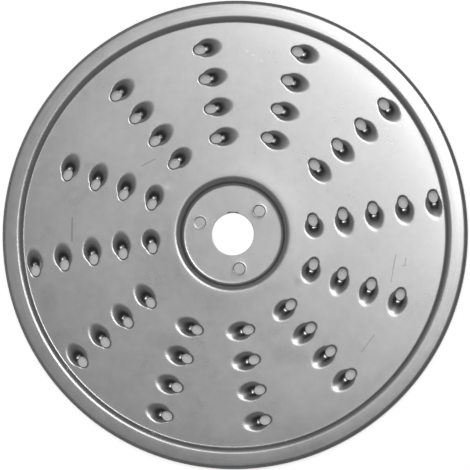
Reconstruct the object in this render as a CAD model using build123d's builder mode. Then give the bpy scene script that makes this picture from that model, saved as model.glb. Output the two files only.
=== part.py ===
import os
from math import asin, cos, pi, radians, sin, tan

from build123d import *

os.makedirs("parts", exist_ok=True)

# Sheet and overall size, in millimetres
sheet_thickness = 1.0
disc_diameter = 185.0

# Hub: the recessed middle of the disc, which seats on the spindle
bore_diameter = 16.7
hub_foot_diameter = 39.6
hub_depth = 2.4
hub_wall_angle = 50.0
hub_foot_bend = 3.0
hub_shoulder_bend = 2.2

# Rim: a raised ring with its outer edge turned down
rim_width = 8.5
rim_height = 1.3
rim_wall_angle = 45.0
rim_shoulder_bend = 2.4
rim_skirt_height = 2.4
rim_edge_bend = 1.2
rim_edge_facets = 3

# Teeth: radial rows, each row set inwards from the one before it
row_count = 12
first_row_angle = 10.0
tooth_rim_gap = 4.0
tooth_inner_radius = 32.0
tooth_pitch = 12.0
rows_in_cycle = 6

# One tooth: a tapering scoop with a cutting lip, and a mouth that narrows to a through hole in front of the lip
tooth_width = 6.6
tooth_depth = 1.6
tooth_ramp_length = 6.2
tooth_mouth_length = 5.0
tooth_hole_width = 3.5
tooth_hole_length = 4.2
lip_to_row_line = 1.9
scoop_facets = 6
mouth_facets = 6

# Round punch marks on the hub
mark_count = 3
mark_diameter = 4.6
mark_circle_diameter = 27.8
mark_depth = 0.2

# Nick on the upper edge of the bore
nick_angle = 90.0
nick_width = 4.0
nick_size = 0.8

# Levels above the underside of the hub
hub_top = sheet_thickness
plate_top = hub_top + hub_depth
plate_underside = plate_top - sheet_thickness
rim_top = plate_top + rim_height
rim_underside = rim_top - sheet_thickness
skirt_end = rim_top - rim_skirt_height

# Radii of the bends' corners on the upper side, from the bore outwards
bore_radius = bore_diameter / 2
hub_foot_radius = hub_foot_diameter / 2
hub_shoulder_radius = hub_foot_radius + hub_depth / tan(radians(hub_wall_angle))
disc_radius = disc_diameter / 2
rim_foot_radius = disc_radius - rim_width
rim_shoulder_radius = rim_foot_radius + rim_height / tan(radians(rim_wall_angle))
skirt_inner_radius = disc_radius - sheet_thickness
tooth_outer_radius = rim_foot_radius - tooth_rim_gap

# The same corners lie further out or in on the underside, so that each wall is as thick as the sheet
hub_corner_shift = sheet_thickness * tan(radians(hub_wall_angle / 2))
rim_corner_shift = sheet_thickness * tan(radians(rim_wall_angle / 2))

hub_foot = (hub_foot_radius, hub_top)
hub_shoulder = (hub_shoulder_radius, plate_top)
rim_foot = (rim_foot_radius, plate_top)
rim_shoulder = (rim_shoulder_radius, rim_top)
hub_foot_below = (hub_foot_radius + hub_corner_shift, 0)
hub_shoulder_below = (hub_shoulder_radius + hub_corner_shift, plate_underside)
rim_foot_below = (rim_foot_radius + rim_corner_shift, plate_underside)
rim_shoulder_below = (rim_shoulder_radius + rim_corner_shift, rim_underside)
rim_edge_below = (skirt_inner_radius, rim_underside)

# The outer edge is rolled over in a few flats, from the top of the ring to its skirt
edge_angles = [pi / 2 * i / rim_edge_facets for i in range(rim_edge_facets + 1)]
edge_drops = [rim_edge_bend * (1 - cos(a)) for a in edge_angles]
edge_insets = [rim_edge_bend * (1 - sin(a)) for a in edge_angles]
rim_edge = [(disc_radius - x, rim_top - z) for x, z in zip(edge_insets, edge_drops)]

# The bends at the ends of a wall leave a short straight length between them
bend_share = 0.97
hub_wall_length = hub_depth / sin(radians(hub_wall_angle))
rim_wall_length = rim_height / sin(radians(rim_wall_angle))
hub_bend_room = bend_share * hub_wall_length / tan(radians(hub_wall_angle / 2)) - sheet_thickness
rim_bend_room = bend_share * rim_wall_length / tan(radians(rim_wall_angle / 2)) - sheet_thickness
hub_bend_fit = min(1, hub_bend_room / (hub_foot_bend + hub_shoulder_bend))
foot_bend = hub_foot_bend * hub_bend_fit
shoulder_bend = hub_shoulder_bend * hub_bend_fit
ring_bend = min(rim_shoulder_bend, rim_bend_room)

# Each rounded bend of the section: its corner and its radius
bends = [
    (hub_foot, foot_bend),
    (hub_foot_below, foot_bend + sheet_thickness),
    (hub_shoulder, shoulder_bend + sheet_thickness),
    (hub_shoulder_below, shoulder_bend),
    (rim_shoulder, ring_bend + sheet_thickness),
]

# Where each tooth sits: the distance from the bore axis and the angle of its row
row_step = 360.0 / row_count
row_shift = tooth_pitch / rows_in_cycle
tooth_places = []
for row in range(row_count):
    row_angle = first_row_angle + row * row_step
    tooth_radius = tooth_outer_radius - (row % rows_in_cycle) * row_shift
    while tooth_radius >= tooth_inner_radius:
        tooth_places.append(Rot(0, 0, row_angle) * Pos(tooth_radius, 0, plate_top))
        tooth_radius -= tooth_pitch

# The lip is an arc across the scoop, and the scoop runs from it to a point at its tail
lip_y = -lip_to_row_line
tail_y = lip_y - tooth_ramp_length
lip_arc_radius = ((tooth_width / 2) ** 2 + tooth_depth**2) / (2 * tooth_depth)
lip_half_angle = asin(tooth_width / 2 / lip_arc_radius)
lip_angles = [lip_half_angle * (2 * i / scoop_facets - 1) for i in range(scoop_facets + 1)]
lip_arc = [(lip_arc_radius * sin(a), lip_arc_radius * (1 - cos(a)) - tooth_depth) for a in lip_angles]
scoop_ends = [(-tooth_width / 2, lip_y), (tooth_width / 2, lip_y), (0, tail_y)]

# The mouth is half an oval that narrows from the upper side to the hole on the underside, and a little past it
mouth_angles = [pi * i / mouth_facets for i in range(mouth_facets + 1)]
mouth_end = 1.25
mouth_points = []
for level in (0, mouth_end):
    half_width = tooth_width / 2 + level * (tooth_hole_width - tooth_width) / 2
    length = tooth_mouth_length + level * (tooth_hole_length - tooth_mouth_length)
    for angle in mouth_angles:
        point = (half_width * cos(angle), lip_y + length * sin(angle), -level * sheet_thickness)
        mouth_points.append(point)

# Outside of a scoop, which stands out below the plate
with BuildPart() as scoop_wall:
    ConvexPolyhedron(
        [(x, lip_y, z - sheet_thickness) for x, z in lip_arc]
        + [(x, y, -sheet_thickness) for x, y in scoop_ends]
        + [(x, y, -sheet_thickness / 2) for x, y in scoop_ends]
    )

# Inside of a scoop and its mouth, which are taken out of the sheet
with BuildPart() as scoop_hollow:
    ConvexPolyhedron([(x, lip_y, z) for x, z in lip_arc] + [(x, y, 0) for x, y in scoop_ends])
    ConvexPolyhedron(mouth_points)

# The disc, turned from the section of the bent sheet, then toothed and marked
with BuildPart() as grating_disc:
    with BuildSketch(Plane.XZ) as section:
        with BuildLine():
            Polyline(
                (bore_radius, hub_top),
                hub_foot,
                hub_shoulder,
                rim_foot,
                rim_shoulder,
                *rim_edge,
                (disc_radius, skirt_end),
                (skirt_inner_radius, skirt_end),
                rim_edge_below,
                rim_shoulder_below,
                rim_foot_below,
                hub_shoulder_below,
                hub_foot_below,
                (bore_radius, 0),
                close=True,
            )
        make_face()
        for corner, bend_radius in bends:
            fillet(section.vertices().sort_by_distance(corner)[0], bend_radius)
    revolve(axis=Axis.Z)
    with Locations(*tooth_places):
        add(scoop_wall.part)
    with Locations(*tooth_places):
        add(scoop_hollow.part, mode=Mode.SUBTRACT)
    with Locations((0, 0, hub_top)):
        with PolarLocations(mark_circle_diameter / 2, mark_count, start_angle=first_row_angle + row_step):
            Cylinder(mark_diameter / 2, 2 * mark_depth, mode=Mode.SUBTRACT)
    with Locations(Rot(0, 0, nick_angle) * Pos(bore_radius, 0, hub_top) * Rot(0, 45, 0)):
        Box(2 * nick_size * sin(radians(45)), nick_width, 4 * nick_size, mode=Mode.SUBTRACT)

grating_disc.part.label = "grating_disc"
export_step(grating_disc.part, "parts/grating_disc.step")
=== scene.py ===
# %% [markdown]
# # A grating disc for a food processor
#
# The disc is one sheet of stainless steel, one millimetre thick, pressed and punched in a few strokes.
# The imported part is opened first, since it gives the size and the place that the finished sheet has to
# keep.

import math

import bmesh
import bpy
import numpy as np
from mathutils import Matrix


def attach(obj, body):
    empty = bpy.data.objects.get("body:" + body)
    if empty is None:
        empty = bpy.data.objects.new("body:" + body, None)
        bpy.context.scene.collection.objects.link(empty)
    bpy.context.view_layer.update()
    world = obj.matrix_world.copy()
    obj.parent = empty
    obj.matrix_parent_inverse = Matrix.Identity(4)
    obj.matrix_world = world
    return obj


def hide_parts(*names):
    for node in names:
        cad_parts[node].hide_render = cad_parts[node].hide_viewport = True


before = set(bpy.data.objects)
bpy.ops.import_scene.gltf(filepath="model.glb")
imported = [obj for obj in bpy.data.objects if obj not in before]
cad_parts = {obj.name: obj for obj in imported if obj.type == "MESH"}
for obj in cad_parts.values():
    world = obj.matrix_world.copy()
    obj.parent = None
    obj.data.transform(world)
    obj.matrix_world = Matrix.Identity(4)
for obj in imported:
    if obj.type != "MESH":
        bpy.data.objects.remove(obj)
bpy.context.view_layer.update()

# %% [markdown]
# ## The rows of teeth
#
# Twelve rows of teeth run out from the hub, thirty degrees apart. Each row starts two millimetres further
# in than the row before it, and after six rows the pattern starts again. A turning disc so brings a tooth
# past every radius, and the food is cut over its whole width. The fifty places could be written out as a
# list, but a rule is shorter and shows why each tooth is where it is. All lengths are in millimetres and
# are scaled to metres once, when the mesh is made.

# %% Where the teeth sit
MM = 0.001
ROWS = 12
ROW_STEP = math.radians(360.0 / ROWS)
FIRST_ROW = math.radians(10.66)
OUTERMOST_TOOTH = 80.0
INNERMOST_TOOTH = 32.0
PITCH = 12.0
SHIFT = 2.0
ROWS_IN_CYCLE = 6
TEETH_AT_MOST = 5
row_numbers = np.arange(ROWS)
row_angles = FIRST_ROW + ROW_STEP * row_numbers
row_starts = OUTERMOST_TOOTH - SHIFT * (row_numbers % ROWS_IN_CYCLE)
row_radii = row_starts[:, None] - PITCH * np.arange(TEETH_AT_MOST)[None, :]
tooth_rows, tooth_places = np.nonzero(row_radii >= INNERMOST_TOOTH)
tooth_radii = row_radii[tooth_rows, tooth_places]
print("teeth:", len(tooth_radii), "in", ROWS, "rows")

# %% [markdown]
# ## The levels of the sheet
#
# Seen from above, the flat plate of the disc lies between a sunk hub and a raised ring. The hub rests on
# the table, so its underside is the zero of all heights. One big grid can't follow fifty openings, so the
# flat plate is cut into cells, one for each tooth. A cell is as wide as its row and as long as the pitch,
# and it shares the points on its border with its neighbours.

# %% Levels and borders
SHEET = 1.0
HUB_TOP = 1.0
PLATE_TOP = 3.4
RING_TOP = 4.7
PLATE_IN = 24.0
PLATE_OUT = 83.4
ARC_STEPS = 16
TOUCH = 0.01
cell_arc = np.linspace(-0.5, 0.5, ARC_STEPS + 1) * ROW_STEP
round_angles = FIRST_ROW - ROW_STEP / 2 + np.arange(ROWS * ARC_STEPS) * ROW_STEP / ARC_STEPS


def even_radii(low, high):
    """The radii low, high and every even millimetre between them: borders of neighbours then share points."""
    inner = np.arange(math.ceil((low + TOUCH) / SHIFT), math.floor((high - TOUCH) / SHIFT) + 1) * SHIFT
    return np.concatenate(([low], inner, [high]))


def cell_border(radii):
    """Points (angle, radius) once round a cell: inner arc, side, outer arc, side."""
    arc = cell_arc[:-1]
    side = np.ones(len(radii) - 1)
    angle = np.concatenate((arc, cell_arc[-1] * side, -arc, cell_arc[0] * side))
    inner, outer = np.full(len(arc), radii[0]), np.full(len(arc), radii[-1])
    radius = np.concatenate((inner, radii[:-1], outer, radii[:0:-1]))
    return angle, radius


print("points round the disc:", len(round_angles))

# %% [markdown]
# ## Patches
#
# Every part of the surface is a patch: a grid of points that follows a formula in two parameters.
# A patch may close on itself in one direction, as the rings of points round an opening do.
# Separate objects would show seams, so the patches are gathered in one list and are welded at the end.

# %% Gather patches
patch_points = []
patch_faces = []
patch_hollows = []


def points_laid():
    """The number of points in all patches so far."""
    return sum(len(points) for points in patch_points)


def add_patch(grid, closed, hollow=0.0):
    """
    Takes points P[i, j] and joins i to i+1 and j to j+1, going round in j if the patch is closed.
    Each point keeps a share from 0 to 1 of painted shade for the material: its depth in a hollow, or a wall's
    steepness.
    """
    rows, columns = grid.shape[:2]
    number = np.arange(rows * columns).reshape(rows, columns)
    if closed:
        number = np.concatenate((number, number[:, :1]), axis=1)
    faces = np.stack((number[:-1, :-1], number[:-1, 1:], number[1:, 1:], number[1:, :-1]), axis=-1)
    patch_faces.append(faces.reshape(-1, 4) + points_laid())
    patch_points.append(grid.reshape(-1, 3))
    patch_hollows.append(np.broadcast_to(hollow, (rows, columns)).ravel())


def turned(x, y, z, angle):
    """Turns points by an angle a about the axis of the disc: x cos a - y sin a, x sin a + y cos a."""
    c, s = math.cos(angle), math.sin(angle)
    return np.stack((c * x - s * y, s * x + c * y, z), axis=-1)


print("a quarter turn of the point (1, 0, 0):", turned(1.0, 0.0, 0.0, math.pi / 2).round(3))

# %% [markdown]
# ## The outlines of a tooth
#
# The punch pushes the sheet down in a long egg-shaped hollow and breaks through at its front end. Four
# ovals describe a tooth: the opening, a deep bowl behind it, a longer shallow tail, and an oval round
# them all where the sheet is flat again. Each has a back end, a front end and half a width, as a punch
# would be measured. Beside the ring and between the innermost teeth there is less room, so the ovals are
# drawn in there. Ovals are chosen rather than traced outlines, because they stay smooth at any number of
# points.

# %% Ovals
HOLE = (-2.0, 2.5, 1.8)
BOWL = (-8.0, 1.8, 4.2)
TAIL = (-9.2, 2.0, 3.6)
FLAT_AGAIN = (-9.6, 3.8, 5.2)
OFF_ROW = (0.3, -1.0)


def oval(t, back, front, half_width):
    """Points x = a sin t, y = m + b cos t: an oval with its front at t = 0."""
    return half_width * np.sin(t), (front + back) / 2 + (front - back) / 2 * np.cos(t)


def drawn_in(t, outline, side_room, back_room):
    """An oval that is made narrower on its outer side and shorter at its back where it has less room."""
    x, y = oval(t, *outline)
    back, _, half_width = outline
    x = np.minimum(x, x * min(1, side_room / half_width))
    return x, np.where(y < 0, y * min(1, back_room / -back), y)


def spokes(radii, count):
    """Even steps of an oval's t, one for each point of a cell's border, from half a side past the back."""
    return math.pi + ((len(radii) - 1) / 2 + np.arange(count)) * 2 * math.pi / count


print("an opening, in millimetres:", HOLE[1] - HOLE[0], "by", 2 * HOLE[2])

# %% [markdown]
# ## The depth of a hollow
#
# The food is caught by the lip at the deep end of the hollow, on the side that faces the table here. Seen
# from above, the hollow is soft at its tail, steeper towards the lip and creased just behind it. The shape
# could be sculpted by hand, but fifty equal teeth need a formula. It adds up a bowl and a tail, each a
# function of how far a point is on its way from the deepest place to an oval.

# %% Bowl and tail
DEEPEST = -2.7
LIP_HALF = 0.5
BOWL_DEPTH = 1.0
TAIL_DEPTH = 0.8
OUTLINE_POINTS = 361


def level_lip(x):
    """x |x| / (|x| + l): draws x in near the middle, so that the bottom is level along the lip."""
    return x * np.abs(x) / (np.abs(x) + LIP_HALF)


def to_outline(x, y, outline, side_room, back_room):
    """
    How far points are from the deepest place: the share q of the way to an outline, found along each bearing,
    and the share w of a half turn from the front, as (1 - cos) / 2 of the bearing.
    """
    edge_x, edge_y = drawn_in(np.linspace(-math.pi, math.pi, OUTLINE_POINTS), outline, side_room, back_room)
    edge_x, edge_y = level_lip(edge_x), edge_y - DEEPEST
    x, y = level_lip(x), y - DEEPEST
    bearing = np.arctan2(x, y)
    reach = np.interp(bearing, np.arctan2(edge_x, edge_y), np.hypot(edge_x, edge_y))
    return np.hypot(x, y) / reach, (1 - np.cos(bearing)) / 2


def hollow_depth(x, y, side_room, back_room):
    """A bowl b (1 - q^(2 - 0.9 w))^2.2, creased behind the lip, and a tail c (1 - q^2.6)^(1 + 1.5 w)."""
    q, w = to_outline(x, y, BOWL, side_room, back_room)
    bowl = BOWL_DEPTH * np.clip(1 - q ** (2 - 0.9 * w), 0, 1) ** 2.2
    q, w = to_outline(x, y, TAIL, side_room, back_room)
    return bowl + TAIL_DEPTH * np.clip(1 - q ** 2.6, 0, 1) ** (1 + 1.5 * w)


print("depth of a hollow, in millimetres:", BOWL_DEPTH + TAIL_DEPTH)

# %% [markdown]
# ## One cell of the plate
#
# In front of an opening the sheet keeps its height, and only its edge is rolled down where the punch went
# in. A hole cut into a square grid would have a ragged edge, so rings of points run out from the opening
# instead: first to the oval where the sheet is flat again, then to the border of the cell. One function
# gives both faces of the sheet. Only the upper one has the rolled edge.

# %% Rings round an opening
ROLL_DEPTH = 0.3
ROLL_WIDTH = 0.85
ROLL_PAINTED_SHADE = 0.9
OUTWARD = np.array([0.06, 0.35, 1.0])[:, None]
BORDER_GAP = 0.1
FLAT_GAP = 0.05
UPPER_RINGS = 16
LOWER_RINGS = 7


def tooth_cell(row_angle, radius, level, roll_depth, rings):
    """
    Points P = H + (F - H) s from the opening H to the oval F, and P = F + (B - F) s on to the border B.
    They lie below the level by the hollow's depth and, at the front, by a roll of r (1 - |P - H| / w)^1.5.
    """
    radii = even_radii(radius - PITCH / 2, min(radius + PITCH / 2, PLATE_OUT))
    angle, border = cell_border(radii)
    border_x = border * np.cos(angle) - radius - OFF_ROW[0]
    border_y = border * np.sin(angle) - OFF_ROW[1]
    side_room = PLATE_OUT - radius - OFF_ROW[0] - BORDER_GAP
    back_room = radius * math.tan(ROW_STEP / 2) + OFF_ROW[1] - BORDER_GAP
    t = spokes(radii, len(angle))
    hole_x, hole_y = oval(t, *HOLE)
    flat_x, flat_y = drawn_in(t, FLAT_AGAIN, side_room, back_room)
    s = np.linspace(0, 1, rings + 1)[:, None]
    x = np.concatenate((hole_x + (flat_x - hole_x) * s, flat_x + (border_x - flat_x) * OUTWARD))
    y = np.concatenate((hole_y + (flat_y - hole_y) * s, flat_y + (border_y - flat_y) * OUTWARD))
    fade = np.concatenate((np.ones_like(s), 1 - OUTWARD))
    depth = hollow_depth(x, y, side_room - FLAT_GAP, back_room) * fade
    near = np.clip(1 - np.hypot(x - hole_x, y - hole_y) / ROLL_WIDTH, 0, 1) ** 1.5 * (1 + np.cos(t)) / 2
    # Share of painted shade for the steel: the hollow's depth, and most of it along the rolled edge.
    hollow = np.maximum(depth / (BOWL_DEPTH + TAIL_DEPTH), ROLL_PAINTED_SHADE * near)
    z = level - depth - roll_depth * near
    return turned(radius + x + OFF_ROW[0], y + OFF_ROW[1], z, row_angle), hollow


def flat_cell(row_angle, radii, level):
    """A flat piece of one row: points at the given radii along the row's arc."""
    x, y = radii[:, None] * np.cos(cell_arc), radii[:, None] * np.sin(cell_arc)
    return turned(x, y, np.full_like(x, level), row_angle)


sample, _ = tooth_cell(0.0, PLATE_OUT / 2, PLATE_TOP, ROLL_DEPTH, UPPER_RINGS)
print("lowest point of a tooth's upper face, in millimetres:", round(sample[:, :, 2].min(), 2))

# %% [markdown]
# ## The plate with its teeth
#
# Each tooth takes one cell on the upper face, one on the lower face and a short wall between them.
# What is left of a row, close to the ring and close to the hub, is plain flat sheet.
# The lower face has fewer rings, since it lies towards the table.

# %% Lay the cells
for row, radius in zip(tooth_rows, tooth_radii):
    upper, hollow = tooth_cell(row_angles[row], radius, PLATE_TOP, ROLL_DEPTH, UPPER_RINGS)
    lower, _ = tooth_cell(row_angles[row], radius, PLATE_TOP - SHEET, 0.0, LOWER_RINGS)
    add_patch(upper, True, hollow)
    add_patch(lower[::-1], True)
    add_patch(np.stack((lower[0], upper[0])), True)

for row in range(ROWS):
    own = tooth_radii[tooth_rows == row]
    gaps = [(PLATE_IN, own.min() - PITCH / 2), (own.max() + PITCH / 2, PLATE_OUT)]
    for low, high in [gap for gap in gaps if gap[1] - gap[0] > TOUCH]:
        add_patch(flat_cell(row_angles[row], even_radii(low, high), PLATE_TOP), False)
        add_patch(flat_cell(row_angles[row], even_radii(low, high), PLATE_TOP - SHEET)[::-1], False)
print("points laid for the plate:", points_laid())

# %% [markdown]
# ## Bends
#
# The ring and the hub are drawn shapes, the same all the way round, so a section is turned about the
# axis. A section is written as its corners, as on a drawing, and each corner is rounded with the radius
# of its bend. Blender's Bevel could round the corners too, but one bend then couldn't have another radius
# than the next.

# %% Rounded sections
def rounded(corners, radii, steps):
    """
    A line through the corners p, with an arc of its own radius r and number of steps at each inner corner.
    With u and v the directions to the neighbours, the centre is p + (u + v) r / (|u + v| sin(half angle)).
    """
    line = [np.array([corners[0]])]
    for before, corner, after, radius, count in zip(corners[:-2], corners[1:-1], corners[2:], radii, steps):
        p = np.array(corner)
        u = (np.array(before) - p) / np.linalg.norm(np.array(before) - p)
        v = (np.array(after) - p) / np.linalg.norm(np.array(after) - p)
        half = math.acos(np.clip(u @ v, -1, 1)) / 2
        reach = radius / math.tan(half)
        centre = p + (u + v) / np.linalg.norm(u + v) * radius / math.sin(half)
        first, last = p + u * reach - centre, p + v * reach - centre
        sweep = math.pi - 2 * half
        share = np.linspace(0, 1, count + 1)[:, None]
        arc = (first * np.sin((1 - share) * sweep) + last * np.sin(share * sweep)) / math.sin(sweep)
        line.append(centre + arc)
    line.append(np.array([corners[-1]]))
    return np.concatenate(line)


def spun(section):
    """Turns a section of points (radius, height) about the axis: x = r cos a, y = r sin a, z = h."""
    radius, height = section[:, :1], section[:, 1:]
    x, y = radius * np.cos(round_angles), radius * np.sin(round_angles)
    return np.stack((x, y, height + np.zeros_like(x)), axis=-1)


print("points on a line with one corner in four steps:", len(rounded([(0, 0), (1, 0), (1, 1)], [0.5], [4])))

# %% [markdown]
# ## The ring
#
# A raised ring with its outer edge turned down makes the thin sheet stiff. On the underside the corners
# of the wall lie a little further out, so that the wall is as thick as the sheet. Bends that can be seen
# from above get more steps than those below.

# %% The ring and its turned-down edge
RING_FOOT = 84.06
RING_SHOULDER = 85.27
RING_WALL_SHIFT = 0.435
RIM = 92.47
SKIRT_INSIDE = 91.5
SKIRT_END = 2.3
RING_BENDS = [1.1, 2.9, 1.8, 0.15, 0.15, 0.8, 1.9, 2.1]
RING_STEPS = [12, 12, 12, 3, 3, 5, 6, 6]
ring_section = rounded(
    [(PLATE_OUT, PLATE_TOP), (RING_FOOT, PLATE_TOP), (RING_SHOULDER, RING_TOP), (RIM, RING_TOP),
     (RIM, SKIRT_END), (SKIRT_INSIDE, SKIRT_END), (SKIRT_INSIDE, RING_TOP - SHEET),
     (RING_SHOULDER + RING_WALL_SHIFT, RING_TOP - SHEET), (RING_FOOT + RING_WALL_SHIFT, PLATE_TOP - SHEET),
     (PLATE_OUT, PLATE_TOP - SHEET)],
    RING_BENDS, RING_STEPS)
add_patch(spun(ring_section), True)
print("points laid with the ring:", points_laid())

# %% [markdown]
# ## The wall of the hub
#
# The hub is pressed down by more than twice the thickness of the sheet, with a steep wall round it. A wall
# this steep mirrors the sheet beside it and would show a light line that the real disc doesn't have. More
# bends could hide the line, but painted shade in the material hides it more simply. So the wall's points
# keep a share of painted shade, worked out from the slope of the section.

# %% The wall of the hub
BORE = 8.35
HUB_EDGE = 18.2
HUB_FOOT = 19.92
HUB_SHOULDER = 21.305
HUB_WALL_SHIFT = 0.58
HUB_BENDS = [1.6, 3.0]
HUB_BENDS_BELOW = [2.6, 2.0]
WALL_PAINTED_SHADE = 0.5
STEEP = (0.60, 0.72)


def ramp(x, low, high):
    """0 below low, 1 above high, and 3 s^2 - 2 s^3 of the share s between them."""
    s = np.clip((x - low) / (high - low), 0, 1)
    return s * s * (3 - 2 * s)


hub_upper = rounded(
    [(HUB_EDGE, HUB_TOP), (HUB_FOOT, HUB_TOP), (HUB_SHOULDER, PLATE_TOP), (PLATE_IN, PLATE_TOP)],
    HUB_BENDS, [16, 16])
hub_lower = rounded(
    [(BORE, 0.0), (HUB_FOOT + HUB_WALL_SHIFT, 0.0), (HUB_SHOULDER + HUB_WALL_SHIFT, PLATE_TOP - SHEET),
     (PLATE_IN, PLATE_TOP - SHEET)],
    HUB_BENDS_BELOW, [6, 6])
along = np.gradient(hub_upper, axis=0)
rise = along[:, 1:] / np.hypot(along[:, :1], along[:, 1:])
# The steep part of the wall gets painted shade in the steel's colour.
hub_painted_shade = WALL_PAINTED_SHADE * ramp(rise, *STEEP)
add_patch(spun(hub_upper), True, hub_painted_shade)
add_patch(spun(hub_lower[::-1]), True)
print("points laid with the hub's wall:", points_laid())

# %% [markdown]
# ## The flat of the hub and its marks
#
# Three shallow round marks are pressed into the hub, and the metal that they push aside stands up a
# little round them. One of them is fainter than the others. Each lies on the line of a row, so it can
# have a cell like a tooth's, with rings of points about its middle. A bump in the material would look the
# same from above, but would leave the mesh itself flat.

# %% The flat of the hub
HUB_INNER = 9.2
MARK_RADIUS = 13.9
MARK_DEPTHS = {1: 0.2, 5: 0.09, 9: 0.2}
MARK_RINGS = np.array([0, 0.8, 1.5, 1.9, 2.05, 2.15, 2.25, 2.35, 2.45, 2.6, 2.8, 3.0])[:, None]
MARK_EDGE = 2.42
MARK_WALL = 0.27
SWELL_RADIUS = 2.58
SWELL_HALF = 0.16
SWELL_SHARE = 0.25
hub_radii = np.linspace(HUB_INNER, HUB_EDGE, 6)


def mark_cell(row_angle, depth):
    """
    Rings of radius r about a mark: its floor lies d below the hub, its wall is d (e - r) / w deep and ends at
    the edge e, and outside it a swelling stands up by d / 4 exp(-((r - m) / h)^2).
    """
    angle, border = cell_border(hub_radii)
    t = spokes(hub_radii, len(angle))
    sink = depth * np.clip((MARK_EDGE - MARK_RINGS) / MARK_WALL, 0, 1)
    swell = depth * SWELL_SHARE * np.exp(-((MARK_RINGS - SWELL_RADIUS) / SWELL_HALF) ** 2)
    x = np.concatenate((MARK_RINGS * np.sin(t), [border * np.cos(angle) - MARK_RADIUS]))
    y = np.concatenate((MARK_RINGS * np.cos(t), [border * np.sin(angle)]))
    z = np.concatenate((HUB_TOP + swell - sink + np.zeros_like(t), [np.full_like(t, HUB_TOP)]))
    return turned(MARK_RADIUS + x, y, z, row_angle)


for row in range(ROWS):
    if row in MARK_DEPTHS:
        add_patch(mark_cell(row_angles[row], MARK_DEPTHS[row]), True)
    else:
        add_patch(flat_cell(row_angles[row], hub_radii, HUB_TOP), False)
print("marks on the hub:", len(MARK_DEPTHS))

# %% [markdown]
# ## The bore
#
# The bore takes the spindle of the machine. Its upper edge is broken all round and has one small nick.
# Cutting the nick out with a Boolean would leave long thin faces, so the points beside it are lowered
# instead.

# %% The bore and its nick
EDGE_BREAK = 0.15
NICK_RINGS = [(8.6, HUB_TOP), (8.75, HUB_TOP), (8.9, HUB_TOP), (9.0, HUB_TOP)]
NICK_ANGLE = math.radians(90.0)
NICK_HALF_ANGLE = 0.22
NICK_DEPTH = 0.4
NICK_END = 8.9
NICK_SLOPE = 0.5
NICK_ABOVE = 0.3
bore = rounded([(BORE, 0.0), (BORE, HUB_TOP), (HUB_INNER, HUB_TOP)], [EDGE_BREAK], [5])
bore = np.concatenate((bore[:-1], NICK_RINGS, bore[-1:]))
bore_grid = spun(bore)
nick_around = np.exp(-((round_angles - NICK_ANGLE) / NICK_HALF_ANGLE) ** 4)
nick_across = np.clip((NICK_END - bore[:, :1]) / NICK_SLOPE, 0, 1) * (bore[:, 1:] > NICK_ABOVE)
bore_grid[:, :, 2] -= NICK_DEPTH * nick_around * nick_across
add_patch(bore_grid, True)
print("points laid in all:", points_laid())

# %% [markdown]
# ## One closed sheet
#
# A pressed sheet is never quite flat: it stays lifted beside the hub and lowered beside the ring by about
# a tenth of a millimetre. On a mirror this shows at once, so it is added to all heights. The patches meet
# point on point, so welding points closer than a micrometre closes the sheet. Edges that turn sharply,
# such as the cut edges of the openings, keep a crisp shade; all else is shaded smooth.

# %% Weld the sheet
WARP = 0.15
HUB_WARP_REACH = 8.0
RING_WARP_REACH = 6.0
HUB_WALL = (20.0, 22.4)
MIDDLE = (30.0, 50.0)
RING_WALL = (83.8, 85.4)
RING_FLAT = 86.0
RING_FALL = 0.025
WELD = 1e-6
CRISP = math.radians(32.0)


def sheet_warp(r):
    """
    Height left by pressing: a lift w exp(-d / a) at a distance d outside the hub and a drop w exp(-d / b)
    inside the ring, each taken up by the wall beside it, and a ring that falls by a small share of its width.
    """
    lift = WARP * np.exp(-np.clip(r - PLATE_IN, 0, None) / HUB_WARP_REACH) * ramp(r, *HUB_WALL)
    drop = WARP * np.exp(-np.clip(PLATE_OUT - r, 0, None) / RING_WARP_REACH) * ramp(r, *MIDDLE)
    drop = drop * (1 - ramp(r, *RING_WALL))
    return lift - drop - RING_FALL * np.clip(r - RING_FLAT, 0, None)


def sheet_object(name):
    """Makes the mesh from all patches, welds it, turns its faces outward and counts the edges left open."""
    points = np.concatenate(patch_points)
    points[:, 2] += sheet_warp(np.hypot(points[:, 0], points[:, 1]))
    mesh = bpy.data.meshes.new(name)
    mesh.from_pydata(points * MM, [], np.concatenate(patch_faces))
    hollow = mesh.attributes.new("hollow", "FLOAT", "POINT")
    hollow.data.foreach_set("value", np.concatenate(patch_hollows))
    work = bmesh.new()
    work.from_mesh(mesh)
    bmesh.ops.remove_doubles(work, verts=work.verts, dist=WELD)
    bmesh.ops.recalc_face_normals(work, faces=work.faces)
    work.to_mesh(mesh)
    work.free()
    mesh.polygons.foreach_set("use_smooth", np.ones(len(mesh.polygons), dtype=bool))
    mesh.set_sharp_from_angle(angle=CRISP)
    mesh.calc_loop_triangles()
    edge_of_corner = np.empty(len(mesh.loops), dtype=np.int32)
    mesh.loops.foreach_get("edge_index", edge_of_corner)
    faces_at_edge = np.bincount(edge_of_corner, minlength=len(mesh.edges))
    open_edges = np.count_nonzero(faces_at_edge != 2)
    print(name, "triangles:", len(mesh.loop_triangles), "open edges:", open_edges)
    piece = bpy.data.objects.new(name, mesh)
    bpy.context.scene.collection.objects.link(piece)
    return piece


disc = sheet_object("grating_sheet")
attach(disc, "root")
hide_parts("grating_disc")

# %% [markdown]
# ## Writing materials
#
# A material is a sum of simple parts: a cloud of tone, a few marks, a fine grain.
# Such sums could be wired by hand, node by node. The class below lets them be written as plain arithmetic.

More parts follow.
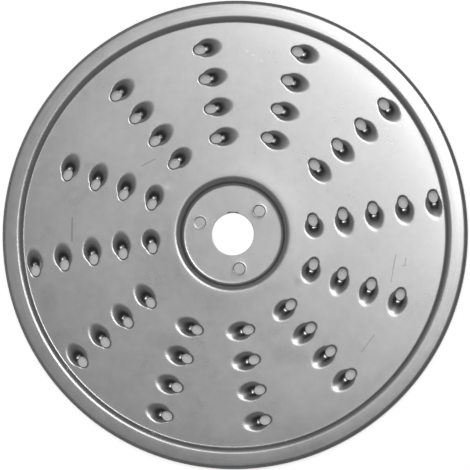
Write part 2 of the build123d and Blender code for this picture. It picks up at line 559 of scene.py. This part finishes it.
# %% Arithmetic for materials
class Value:
    """A number or vector of a material, worked out at each point; without a socket, a place to start from."""

    def __init__(self, tree, socket=None):
        self.tree = tree
        self.socket = socket

    def make(self, kind, settings=None, inputs=None, output=0):
        """Adds a node of one kind, sets it up, joins its inputs and returns one output."""
        node = self.tree.nodes.new(kind)
        for name, value in (settings or {}).items():
            setattr(node, name, value)
        for name, value in (inputs or {}).items():
            if isinstance(value, Value):
                self.tree.links.new(value.socket, node.inputs[name])
            else:
                node.inputs[name].default_value = value
        return Value(self.tree, node.outputs[output])

    def feed(self, shader, name):
        """Joins this value to an input of a shader."""
        self.tree.links.new(self.socket, shader.inputs[name])

    def math(self, operation, *others):
        """Adds a Math node that works on this value and the others."""
        return self.make("ShaderNodeMath", {"operation": operation}, dict(enumerate((self, *others))))

    def __add__(self, other):
        return self.math("ADD", other)

    __radd__ = __add__

    def __mul__(self, other):
        return self.math("MULTIPLY", other)

    __rmul__ = __mul__

    def __sub__(self, other):
        return self.math("SUBTRACT", other)

    def __rsub__(self, other):
        return self * -1.0 + other

    def __truediv__(self, other):
        return self.math("DIVIDE", other)

    def __pow__(self, other):
        return self.math("POWER", other)

    def step(self, low, high):
        """0 below low, 1 above high, smooth between; falling if low is the larger."""
        return self.make("ShaderNodeMapRange", {"interpolation_type": "SMOOTHSTEP"},
                         {"Value": self, "From Min": low, "From Max": high})

    def noise(self, scale, detail=3.0, roughness=0.5):
        """Soft random clouds, about 0.5 on average, of this many to the unit of the vector."""
        return self.make("ShaderNodeTexNoise", None,
                         {"Vector": self, "Scale": scale, "Detail": detail, "Roughness": roughness})

    def axis(self, name):
        """One of the parts X, Y and Z of a vector."""
        return self.make("ShaderNodeSeparateXYZ", None, {"Vector": self}, name)

    def grey(self, blue=1.0):
        """A grey colour of this brightness, with its blue a little stronger or weaker."""
        return self.make("ShaderNodeCombineColor", None, {"Red": self, "Green": self, "Blue": self * blue})


# %% [markdown]
# ## Satin steel
#
# The sheet has the even satin finish that it left the rolling mill with, and handling has left it
# slightly cloudy. A photograph of steel could be wrapped round it. Noise on the disc's own coordinates
# needs no file and has no seam. The cloud changes how clear the mirror is, not only how bright, so it
# shows best where the light ends.

# %% Tone and clouds
STEEL_TONE = 0.58
STEEL_ROUGH = 0.29
CLOUD_TONE = 0.14
CLOUD_ROUGH = 0.08
MOTTLE_TONE = 0.09
MOTTLE_ROUGH = 0.06
steel = bpy.data.materials.new("satin stainless steel")
steel.use_nodes = True
steel_shader = steel.node_tree.nodes["Principled BSDF"]
place = Value(steel.node_tree).make("ShaderNodeTexCoord", output="Object")
place_x = place.axis("X") / MM
place_y = place.axis("Y") / MM
from_axis = (place_x * place_x + place_y * place_y) ** 0.5
cloud = place.noise(scale=45.0, detail=5.0, roughness=0.65) - 0.5
mottle = place.noise(scale=260.0, detail=3.0, roughness=0.6) - 0.5
tone = STEEL_TONE + cloud * CLOUD_TONE + mottle * MOTTLE_TONE
rough = STEEL_ROUGH + cloud * CLOUD_ROUGH + mottle * MOTTLE_ROUGH
print("steel: tone", STEEL_TONE, "roughness", STEEL_ROUGH)

# %% [markdown]
# ## Painted shade in the hollows, on the hub's wall and at the edge, and streaks
#
# The real disc is darker in its hollows, on the hub's wall and at its outer edge than clean steel that
# mirrors this plain room. So the material paints shade there: it darkens these places, all but the strip
# at the lip of a tooth, in place of the shade and dark reflections that the room doesn't give. Stretched
# metal does turn dull, but one picture can't tell how much of it is the metal and how much is the real
# room. It also lays faint streaks round the ring. The painted shade is read from the share that each point
# of the mesh has kept. It could be painted in a texture, but the paint would have to move with the teeth.

# %% Painted shade in the hollows, on the hub's wall and at the edge, and streaks
PAINTED_SHADE_RAMP = (0.2, 0.75)
PAINTED_SHADE_STRENGTH = 0.8
UNSHADED_LIP = (0.98, 0.9)
# Painted shade at the outer edge: it is darkened in place of the dark it mirrors, and made rougher.
OUTER_EDGE = (91.4, 92.0)
EDGE_PAINTED_SHADE = 0.78
EDGE_ROUGH = 0.1
STREAKS = (85.5, 86.5)
STREAK_TONE = 0.35
STREAKS_ALONG = 2.0
STREAKS_ACROSS = 1.6
shade_share = place.make("ShaderNodeAttribute", {"attribute_name": "hollow"}, None, "Fac")
# Painted shade: darkens where the mesh's share is high, all but the strip at the lip.
painted_shade = shade_share.step(*PAINTED_SHADE_RAMP) * shade_share.step(*UNSHADED_LIP)
outer_edge = from_axis.step(*OUTER_EDGE)
along_x = place_x / from_axis * STREAKS_ALONG
along_y = place_y / from_axis * STREAKS_ALONG
across = from_axis * STREAKS_ACROSS
around = place.make("ShaderNodeCombineXYZ", None, {"X": along_x, "Y": along_y, "Z": across})
streaks = (around.noise(scale=1.0, detail=3.0, roughness=0.6) - 0.5) * from_axis.step(*STREAKS)
# The tone takes the painted shade of the outer edge, the hollows and the hub's wall.
tone = tone * (1.0 - outer_edge * EDGE_PAINTED_SHADE) * (1.0 - painted_shade * PAINTED_SHADE_STRENGTH) * (1.0 + streaks * STREAK_TONE)
rough = rough + outer_edge * EDGE_ROUGH
print("streaks outside a radius of", STREAKS[0], "mm")

# %% [markdown]
# ## Marks of use
#
# A few hair scratches run across the plate, there are three wide smudges, and three bright specks near
# one row. Each is a line between two points with a width, in millimetres, placed where the real disc has
# it. Scattering them at random would be quicker, but this disc would then be another one.

# %% Scratches, smudges and specks
LONG_SCRATCH = (-64.1, 6.7, -64.2, -2.6, 0.45)
SCRATCHES = [
    (64.4, -8.6, 63.5, -13.5, 0.32), (63.4, -13.6, 62.6, -19.2, 0.25), (68.4, -9.8, 68.0, -12.4, 0.3),
    (67.9, -12.6, 67.1, -13.0, 0.3), (56.0, -39.7, 50.9, -46.4, 0.25), (-36.0, 27.2, -30.6, 30.0, 0.3)]
SMUDGES = [
    (-73.6, -22.8, -73.0, -27.2, 4.6), (-31.0, -41.0, -23.0, -43.5, 4.5), (19.0, -47.5, 27.0, -48.5, 4.5)]
SPECKS = [(5.6, 72.5, 6.4, 72.1, 0.45), (8.0, 70.9, 8.7, 70.5, 0.45), (11.5, 68.5, 11.9, 68.1, 0.4)]
LONG_SCRATCH_DARK = 0.3
SCRATCH_DARK = 0.35
SMUDGE_DARK = 0.2
SPECK_LIGHT = 0.12


def near_line(x0, y0, x1, y1, width):
    """1 on the line between two points, falling to 0 at this distance from it."""
    dx, dy = x1 - x0, y1 - y0
    share = ((place_x - x0) * dx + (place_y - y0) * dy) * (1 / (dx * dx + dy * dy))
    share = share.math("MAXIMUM", 0.0).math("MINIMUM", 1.0)
    off_x, off_y = place_x - x0 - share * dx, place_y - y0 - share * dy
    return (off_x * off_x + off_y * off_y).step(width * width, 0.0)


scratched = near_line(*LONG_SCRATCH) * LONG_SCRATCH_DARK
scratched = scratched + sum(near_line(*line) for line in SCRATCHES) * SCRATCH_DARK
smudged = sum(near_line(*line) for line in SMUDGES) * (0.5 + mottle * 2.0)
specks = sum(near_line(*line) for line in SPECKS)
tone = tone * (1.0 - scratched) * (1.0 - smudged * SMUDGE_DARK) + specks * SPECK_LIGHT
print("scratches:", 1 + len(SCRATCHES), "smudges:", len(SMUDGES), "specks:", len(SPECKS))

# %% [markdown]
# ## The finished steel
#
# Stainless steel has next to no colour of its own, so its tone becomes a grey with a trace of blue. A
# very fine grain breaks the mirror up a little, as rolling does. It is far too fine for the mesh, so it
# is a bump.

# %% Join the steel
BLUE_SHARE = 1.005
grain = place.noise(scale=2600.0, detail=2.0, roughness=0.6)
bump = place.make("ShaderNodeBump", None, {"Height": grain, "Strength": 0.05, "Distance": 0.0001})
tone.grey(BLUE_SHARE).feed(steel_shader, "Base Color")
rough.feed(steel_shader, "Roughness")
bump.feed(steel_shader, "Normal")
steel_shader.inputs["Metallic"].default_value = 1.0
disc.data.materials.append(steel)
print("nodes in the steel:", len(steel.node_tree.nodes))

# %% [markdown]
# ## The camera
#
# The picture is taken almost straight down, from a little to the right and a little below. A Track To
# constraint could aim the camera. Its three axes are worked out here instead, with the disc's +Y kept
# upright in the picture.

# %% The camera
CAMERA_LEAN = (0.128, -0.045, 1.0)
CAMERA_DISTANCE = 0.9
CAMERA_AIM = np.array((0.0013, -0.0005, 0.0044))
back = np.array(CAMERA_LEAN) / np.linalg.norm(CAMERA_LEAN)
right = np.cross((0.0, 1.0, 0.0), back)
right = right / np.linalg.norm(right)
camera_place = np.eye(4)
camera_place[:3, 0] = right
camera_place[:3, 1] = np.cross(back, right)
camera_place[:3, 2] = back
camera_place[:3, 3] = CAMERA_AIM + back * CAMERA_DISTANCE
camera_data = bpy.data.cameras.new("camera")
camera_data.sensor_width = 36.0
camera_data.lens = 175.2
camera = bpy.data.objects.new("camera", camera_data)
camera.matrix_world = Matrix(camera_place.tolist())
bpy.context.scene.collection.objects.link(camera)
bpy.context.scene.camera = camera
bpy.context.scene.view_settings.view_transform = "Standard"
print("camera at", [round(float(v), 3) for v in camera_place[:3, 3]])

# %% [markdown]
# ## The floor
#
# The disc lies on white paper. More light on the paper would be more light on the disc too, so the paper
# glows a little by itself, but only for rays that show the picture or are mirrored in the steel. A glow
# has no shadow, so the material takes most of it away in a ring under the disc. The openings then look
# grey and the bore white, as they do on the real disc.

# %% The paper
PAPER_HALF = 20.0
PAPER_GLOW = 0.70
SHADE = 0.78
SHADE_FROM = (0.0090, 0.0096)
SHADE_TO = (0.0930, 0.0910)


def paper_floor():
    """A flat square of paper. Its glow is less in the ring-shaped shade between the bore and the rim."""
    mesh = bpy.data.meshes.new("paper floor")
    w = PAPER_HALF
    mesh.from_pydata([(-w, -w, 0), (w, -w, 0), (w, w, 0), (-w, w, 0)], [], [(0, 1, 2, 3)])
    paper = bpy.data.materials.new("white paper")
    paper.use_nodes = True
    shader = paper.node_tree.nodes["Principled BSDF"]
    start = Value(paper.node_tree)
    rays = ("Is Camera Ray", "Is Glossy Ray", "Is Transmission Ray")
    shows = sum(start.make("ShaderNodeLightPath", output=ray) for ray in rays).math("MINIMUM", 1.0)
    spot = start.make("ShaderNodeTexCoord", output="Object")
    distance = spot.make("ShaderNodeVectorMath", {"operation": "LENGTH"}, {0: spot}, "Value")
    covered = distance.step(*SHADE_FROM) * distance.step(*SHADE_TO)
    (shows * (1.0 - covered * SHADE) * PAPER_GLOW).grey().feed(shader, "Emission Color")
    shader.inputs["Emission Strength"].default_value = 1.0
    shader.inputs["Base Color"].default_value = (0.9, 0.9, 0.9, 1)
    shader.inputs["Roughness"].default_value = 1.0
    shader.inputs["Specular IOR Level"].default_value = 0.0
    mesh.materials.append(paper)
    floor = bpy.data.objects.new("paper_floor", mesh)
    bpy.context.scene.collection.objects.link(floor)
    return floor


print("floor:", paper_floor().name)

# %% [markdown]
# ## The lamp
#
# Polished metal is lit by what it mirrors. One large soft lamp hangs above and to the upper right. Its
# near edge is mirrored in the middle of the plate, which is why one side is bright and the other grey. So
# the lamp is placed by angles from the camera's mirror direction, and hung far off, to keep those angles
# the same over the whole disc.

# %% The lamp
LAMP_ANGLE = math.radians(39.0)
LAMP_HEIGHT = 10.0
LAMP_NEAR = 0.125
LAMP_FAR = 0.60
LAMP_HALF = 0.15
LAMP_GLOW = 4.0
lamp_data = bpy.data.lights.new("soft lamp", "AREA")
lamp_data.shape = "RECTANGLE"
lamp_data.size = (LAMP_FAR - LAMP_NEAR) * LAMP_HEIGHT
lamp_data.size_y = 2 * LAMP_HALF * LAMP_HEIGHT
lamp_data.energy = LAMP_GLOW * math.pi * lamp_data.size * lamp_data.size_y
lamp = bpy.data.objects.new("soft_lamp", lamp_data)
lamp_reach = (LAMP_NEAR + LAMP_FAR) / 2
lamp_x = lamp_reach * math.cos(LAMP_ANGLE) - CAMERA_LEAN[0]
lamp_y = lamp_reach * math.sin(LAMP_ANGLE) - CAMERA_LEAN[1]
lamp.location = (lamp_x * LAMP_HEIGHT, lamp_y * LAMP_HEIGHT, LAMP_HEIGHT)
lamp.rotation_euler = (0.0, 0.0, LAMP_ANGLE)
bpy.context.scene.collection.objects.link(lamp)
print("lamp, in metres:", round(lamp_data.size, 2), "by", round(lamp_data.size_y, 2))

# %% [markdown]
# ## The room
#
# The rest of what the steel mirrors is the room: dim walls, a lighter band above them and a grey ceiling
# that is brighter on one side. The dark bands at the hub and the ring are the walls, mirrored in the
# steep bends. A photographed room would bring in shapes that the disc doesn't show, so the room is a few
# smooth steps of grey.

# %% The room
ROOM_WALL = 0.062
ROOM_CEILING = 0.340
ROOM_TILT = 0.60
ROOM_BAND = 0.12
BRIGHT_SIDE = (-0.34, 0.94)
BAND_RISE = (0.05, 0.28)
BAND_FALL = (0.56, 0.34)
room = bpy.data.worlds.new("dim room")
bpy.context.scene.world = room
room.use_nodes = True
look = Value(room.node_tree).make("ShaderNodeTexCoord", output="Generated")
height = look.axis("Z").math("MAXIMUM", 0.0)
bright_side = look.axis("X") * BRIGHT_SIDE[0] + look.axis("Y") * BRIGHT_SIDE[1]
band = height.step(*BAND_RISE) * height.step(*BAND_FALL)
ceiling = (ROOM_CEILING - ROOM_WALL) * height ** 2.0 + ROOM_TILT * bright_side * height ** 6.0
(ROOM_WALL + ceiling + ROOM_BAND * band).grey().feed(room.node_tree.nodes["Background"], "Color")
print("room: walls", ROOM_WALL, "ceiling", ROOM_CEILING)
